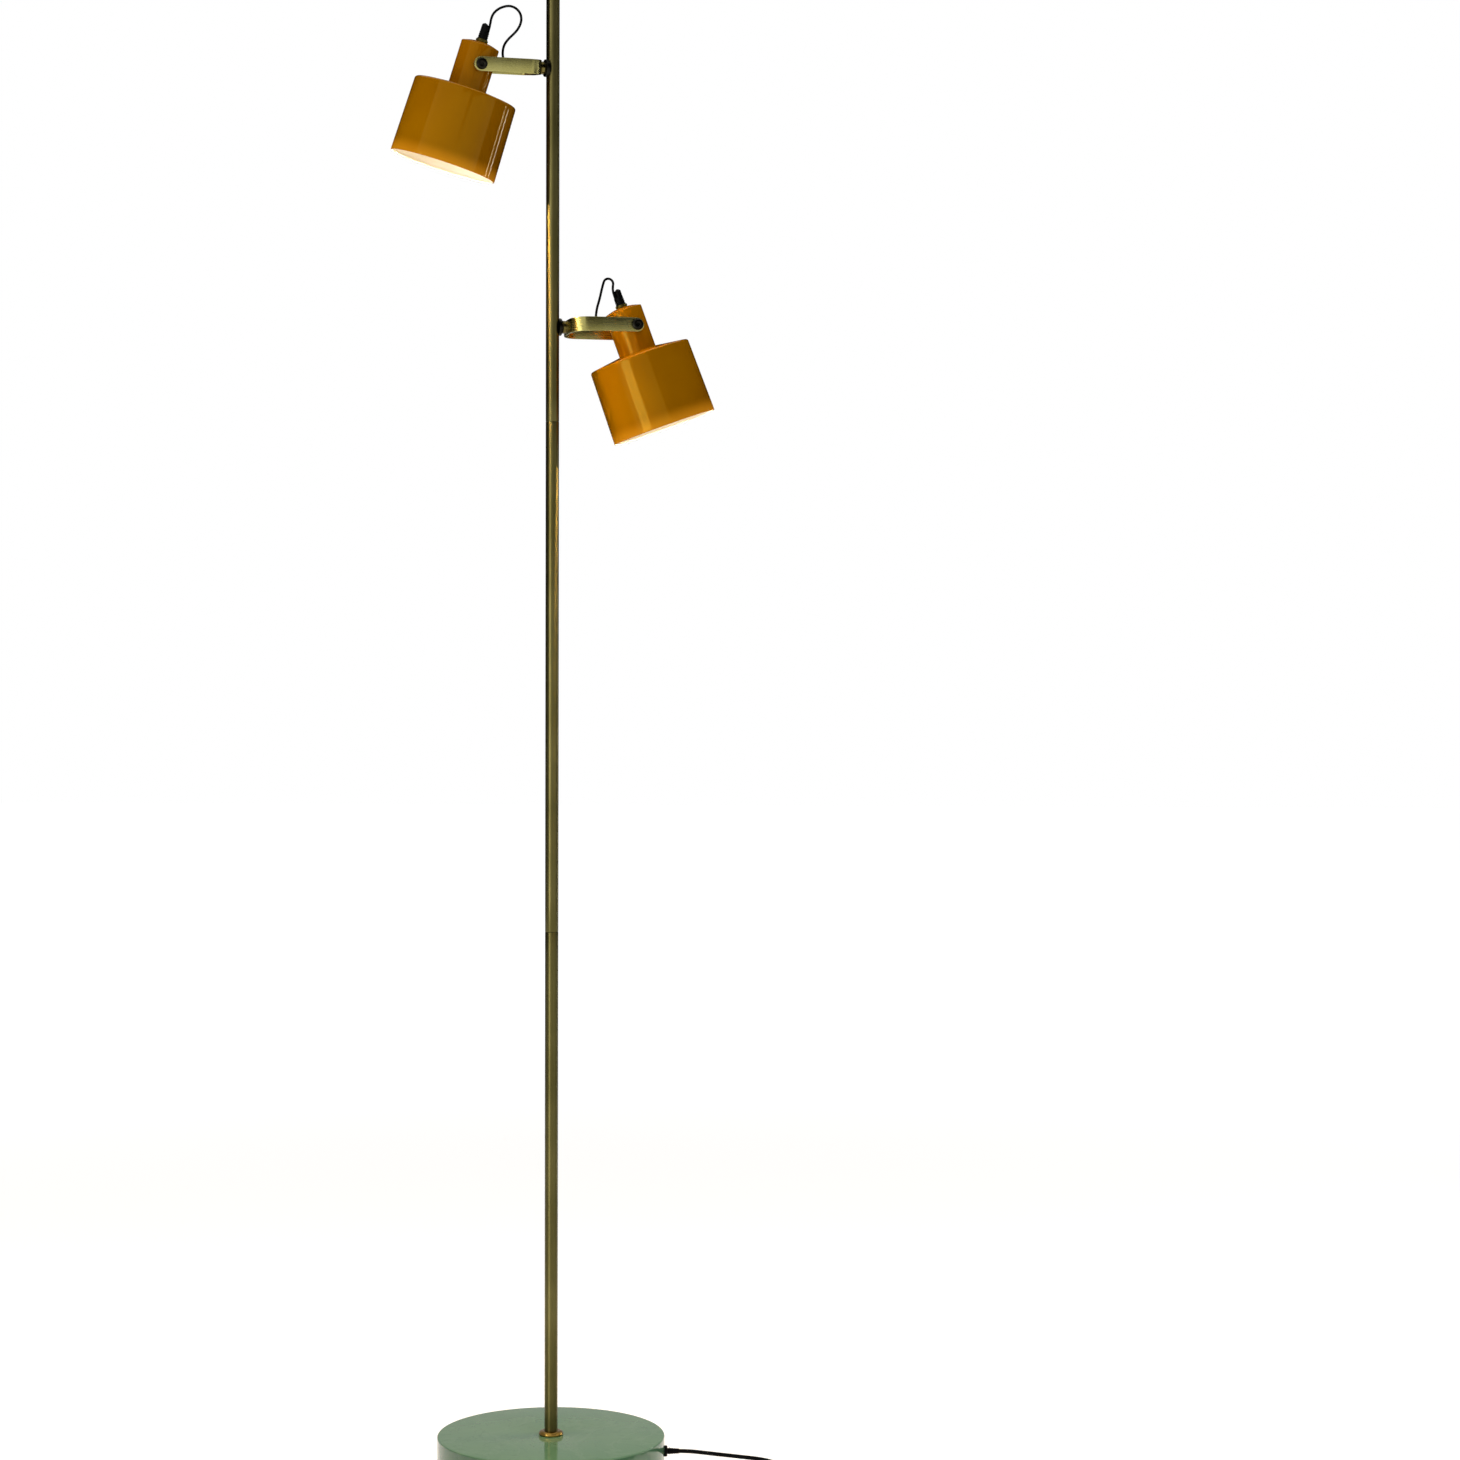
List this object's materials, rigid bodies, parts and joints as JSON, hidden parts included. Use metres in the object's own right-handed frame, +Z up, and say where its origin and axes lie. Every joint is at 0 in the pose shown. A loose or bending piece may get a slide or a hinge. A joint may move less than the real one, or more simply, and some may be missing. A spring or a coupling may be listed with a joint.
{
  "type": "floor lamp",
  "caption": "Slim free-standing floor lamp: brass pole on a round green marble base, carrying mustard metal shades that swivel and tilt in brass yokes.",
  "frame": {"origin": "centre of the foot pad's underside, on the floor", "axes": "+Z up along the pole; the picture is seen from -Y; the mains cord leaves the base along +X; rest pose is the pose in the picture"},
  "size_m": [0.4336, 0.287, 1.538],
  "materials": {
    "green_marble": "polished sage green marble with faint veins",
    "foot_rubber": "dull soft pad",
    "cover_steel": "satin black sheet steel",
    "zinc": "bright zinc plating",
    "pole_brass": "aged olive brass, polished",
    "arm_brass": "brushed yellow brass",
    "black_metal": "satin black",
    "shade_ochre": "satin mustard enamel outside, white inside",
    "neck_ochre": "satin mustard enamel",
    "nut_olive": "dull olive brass",
    "black_plastic": "fine satin black",
    "white_plastic": "plain white",
    "button_grey": "satin dark grey",
    "cord_black": "smooth flexible sheath",
    "tie_black": "woven tape",
    "pin_nickel": "bright nickel plating",
    "bulb_opal": "opal white, lit"
  },
  "bodies": {
    "stand": {"marble_base": "green_marble", "foot_pad": "foot_rubber", "base_cover": "cover_steel", "base_screws": "zinc", "base_nipple": "zinc", "base_washer": "zinc", "base_nut": "zinc", "base_collar": "pole_brass", "terminal_block": "white_plastic", "cord_clip": "black_plastic", "mains_relief": "cord_black", "mains_inner": "cord_black", "foot_insert": "zinc", "pole_lower": "pole_brass", "pole_middle": "pole_brass", "pole_upper": "pole_brass", "pole_couplers": "zinc", "pole_cap": "pole_brass", "pole_leads": "cord_black", "cross_nuts": "zinc", "saddle_washers": "black_metal", "swivel_studs": "arm_brass", "stem_barrels": "pole_brass", "stud_nuts": "black_metal", "mains_cord": "cord_black", "mains_link": "cord_black", "mains_coil": "cord_black", "mains_tail": "cord_black", "coil_tie": "tie_black", "switch_base": "black_plastic", "switch_cover": "black_plastic", "switch_core": "white_plastic", "plug_body": "black_plastic", "plug_pins": "pin_nickel"},
    "upper_yoke": {"upper_yoke": "arm_brass", "upper_head_cord": "cord_black"},
    "upper_head": {"upper_pivot_screws": "black_metal", "upper_pivot_bosses": "black_metal", "upper_neck": "neck_ochre", "upper_shade": "shade_ochre", "upper_shade_ring": "white_plastic", "upper_lamp_holder": "black_plastic", "upper_grip_nut": "nut_olive", "upper_cord_grip": "black_plastic", "upper_bulb_cap": "pin_nickel", "upper_bulb_glass": "bulb_opal"},
    "lower_yoke": {"lower_yoke": "arm_brass", "lower_head_cord": "cord_black"},
    "lower_head": {"lower_pivot_screws": "black_metal", "lower_pivot_bosses": "black_metal", "lower_neck": "neck_ochre", "lower_shade": "shade_ochre", "lower_shade_ring": "white_plastic", "lower_lamp_holder": "black_plastic", "lower_grip_nut": "nut_olive", "lower_cord_grip": "black_plastic", "lower_bulb_cap": "pin_nickel", "lower_bulb_glass": "bulb_opal"},
    "foot_button": {"switch_button": "button_grey"}
  },
  "joints": [
    {"name": "upper_swivel", "type": "hinge", "parent": "stand", "child": "upper_yoke", "pos_m": [0, 0, 1.3767], "axis": [-0.9385, -0.3453, 0], "range_deg": [-90, 90], "deforming": ["upper_head_cord"]},
    {"name": "upper_tilt", "type": "hinge", "parent": "upper_yoke", "child": "upper_head", "pos_m": [-0.07414, -0.02728, 1.3767], "axis": [-0.3437, 0.934, 0.0976], "range_deg": [-24, 45], "deforming": ["upper_head_cord"]},
    {"name": "lower_swivel", "type": "hinge", "parent": "stand", "child": "lower_yoke", "pos_m": [0, 0, 1.127], "axis": [0.9385, 0.3453, 0], "range_deg": [-90, 90], "deforming": ["lower_head_cord"]},
    {"name": "lower_tilt", "type": "hinge", "parent": "lower_yoke", "child": "lower_head", "pos_m": [0.07414, 0.02728, 1.127], "axis": [0.3428, -0.9317, 0.1201], "range_deg": [-26, 43], "deforming": ["lower_head_cord"]},
    {"name": "foot_button", "type": "slide", "parent": "stand", "child": "foot_button", "axis": [0, 0, -1], "range_m": [0, 0.0025], "stiffness_N_per_m": 2000, "springref_m": -0.001}
  ]
}
